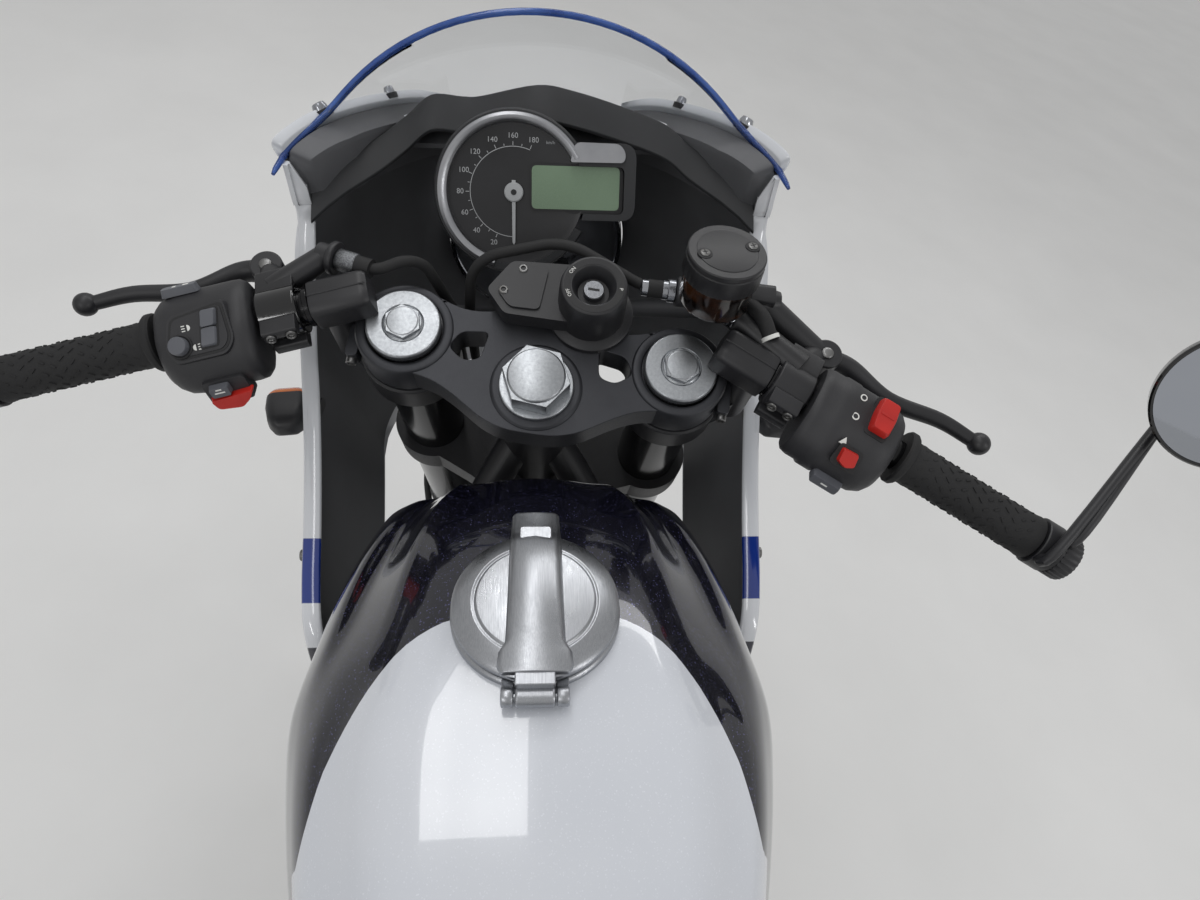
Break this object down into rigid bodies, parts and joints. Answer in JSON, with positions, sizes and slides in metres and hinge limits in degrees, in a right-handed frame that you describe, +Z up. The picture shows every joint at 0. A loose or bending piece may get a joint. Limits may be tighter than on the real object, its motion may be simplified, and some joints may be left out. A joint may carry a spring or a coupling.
{
  "type": "cafe racer motorcycle",
  "caption": "Half-faired cafe racer motorcycle with clip-on handlebars, upside-down fork and a humped tail, parked leaning on its side stand.",
  "frame": {"origin": "on the floor, under the middle of the parked motorcycle's box", "axes": "+X forward along the motorcycle, +Y to the rider's left, which is the side it leans to, +Z up"},
  "size_m": [1.9721, 0.9918, 1.1245],
  "materials": {
    "tyre": "matte black rubber",
    "wheel_alloy": "satin black paint over cast alloy",
    "disc_steel": "ground steel",
    "sprocket_steel": "plain steel",
    "axle_steel": "turned steel",
    "yoke_black": "satin black paint over alloy",
    "fork_black": "gloss black anodised alloy",
    "slider_steel": "black castings below hard chrome",
    "cap_alloy": "satin turned alloy",
    "lock_black": "satin black",
    "guard_black": "satin black plastic",
    "caliper_black": "black anodised alloy",
    "bar_black": "satin black",
    "grip_rubber": "matte rubber with a diagonal tread",
    "switch_plastic": "fine grained black plastic",
    "lever_black": "black anodised alloy",
    "reservoir_amber": "smoky amber plastic with a black cap",
    "mirror_black": "gloss black",
    "frame_black": "satin black paint",
    "swingarm_black": "satin black paint",
    "shock_spring": "black spring",
    "engine_black": "black powder coat",
    "cylinder_black": "black powder coat",
    "cover_black": "satin black covers",
    "radiator_black": "black finned core",
    "airbox_black": "black plastic",
    "exhaust_steel": "heat tinted steel",
    "silencer_steel": "brushed sleeve with black cone",
    "tank_white": "white pearl with a dark metallic front",
    "filler_alloy": "brushed alloy",
    "lid_alloy": "brushed alloy",
    "seat_leather": "black leather-like cover",
    "cowl_white": "white pearl with a dark band",
    "panel_black": "black plastic",
    "tail_black": "black plastic",
    "lamp_red": "red lens",
    "fairing_white": "white with a blue stripe",
    "liner_black": "black grained plastic",
    "screen_clear": "clear acrylic with a bluish edge",
    "lamp_bowl": "bright reflector",
    "lamp_glass": "clear",
    "pod_black": "dark grey plastic with a silver ring",
    "dial_face": "dark dial with a grey-green display",
    "indicator_amber": "amber lens on a black stalk",
    "footrest_black": "black anodised alloy",
    "chain_steel": "steel links",
    "stand_black": "satin black paint",
    "hose_black": "black rubber sleeve"
  },
  "bodies": {
    "chassis": {"rear_axle": "axle_steel", "frame": "frame_black", "swingarm": "swingarm_black", "swingarm_bridge": "swingarm_black", "rear_shock": "shock_spring", "crankcase": "engine_black", "cylinder": "cylinder_black", "engine_covers": "cover_black", "radiator": "radiator_black", "airbox": "airbox_black", "exhaust_header": "exhaust_steel", "silencer": "silencer_steel", "fuel_tank": "tank_white", "filler_ring": "filler_alloy", "seat": "seat_leather", "tail_cowl": "cowl_white", "side_panels": "panel_black", "tail_unit": "tail_black", "rear_lamps": "lamp_red", "fairing_nose": "fairing_white", "fairing_sides": "fairing_white", "fairing_liner": "liner_black", "liner_sides": "liner_black", "windscreen": "screen_clear", "headlamp": "lamp_bowl", "headlamp_lens": "lamp_glass", "dash_hood": "liner_black", "instrument_pod": "pod_black", "instrument_face": "dial_face", "front_indicators": "indicator_amber", "foot_controls": "footrest_black", "drive_chain": "chain_steel", "rear_caliper": "caliper_black"},
    "steering": {"top_yoke": "yoke_black", "lower_yoke": "yoke_black", "fork_tubes": "fork_black", "fork_sliders": "slider_steel", "fork_caps": "cap_alloy", "ignition_lock": "lock_black", "front_mudguard": "guard_black", "front_caliper": "caliper_black", "front_axle": "axle_steel", "handlebars": "bar_black", "grips": "grip_rubber", "switch_left": "switch_plastic", "switch_right": "switch_plastic", "hand_levers": "lever_black", "brake_reservoir": "reservoir_amber", "mirrors": "mirror_black", "brake_hose": "hose_black", "clutch_cable": "hose_black"},
    "front_wheel": {"front_tyre": "tyre", "front_rim": "wheel_alloy", "front_disc": "disc_steel"},
    "rear_wheel": {"rear_tyre": "tyre", "rear_rim": "wheel_alloy", "rear_disc": "disc_steel", "rear_sprocket": "sprocket_steel"},
    "side_stand": {"side_stand": "stand_black"},
    "fuel_lid": {"fuel_lid": "lid_alloy"}
  },
  "joints": [
    {"name": "steering", "type": "hinge", "parent": "chassis", "child": "steering", "pos_m": [0.36187, -0.0107, 0.9406], "axis": [-0.4155, 0.1658, 0.8943], "range_deg": [-18, 36]},
    {"name": "front_wheel_spin", "type": "hinge", "parent": "steering", "child": "front_wheel", "pos_m": [0.69556, -0.13572, 0.29139], "axis": [0.1425, 0.983, -0.1161], "continuous": true},
    {"name": "rear_wheel_spin", "type": "hinge", "parent": "chassis", "child": "rear_wheel", "pos_m": [-0.68013, -0.12884, 0.30218], "axis": [0.0002, 0.9833, -0.1822], "continuous": true},
    {"name": "side_stand_swing", "type": "hinge", "parent": "chassis", "child": "side_stand", "pos_m": [-0.07007, -0.02083, 0.23799], "axis": [-0.0003, 0.9636, 0.2672], "range_deg": [0, 95]},
    {"name": "fuel_lid_hinge", "type": "hinge", "parent": "chassis", "child": "fuel_lid", "pos_m": [0.13227, -0.01257, 0.93027], "axis": [-0.0002, -0.9833, 0.1822], "range_deg": [0, 100]}
  ]
}
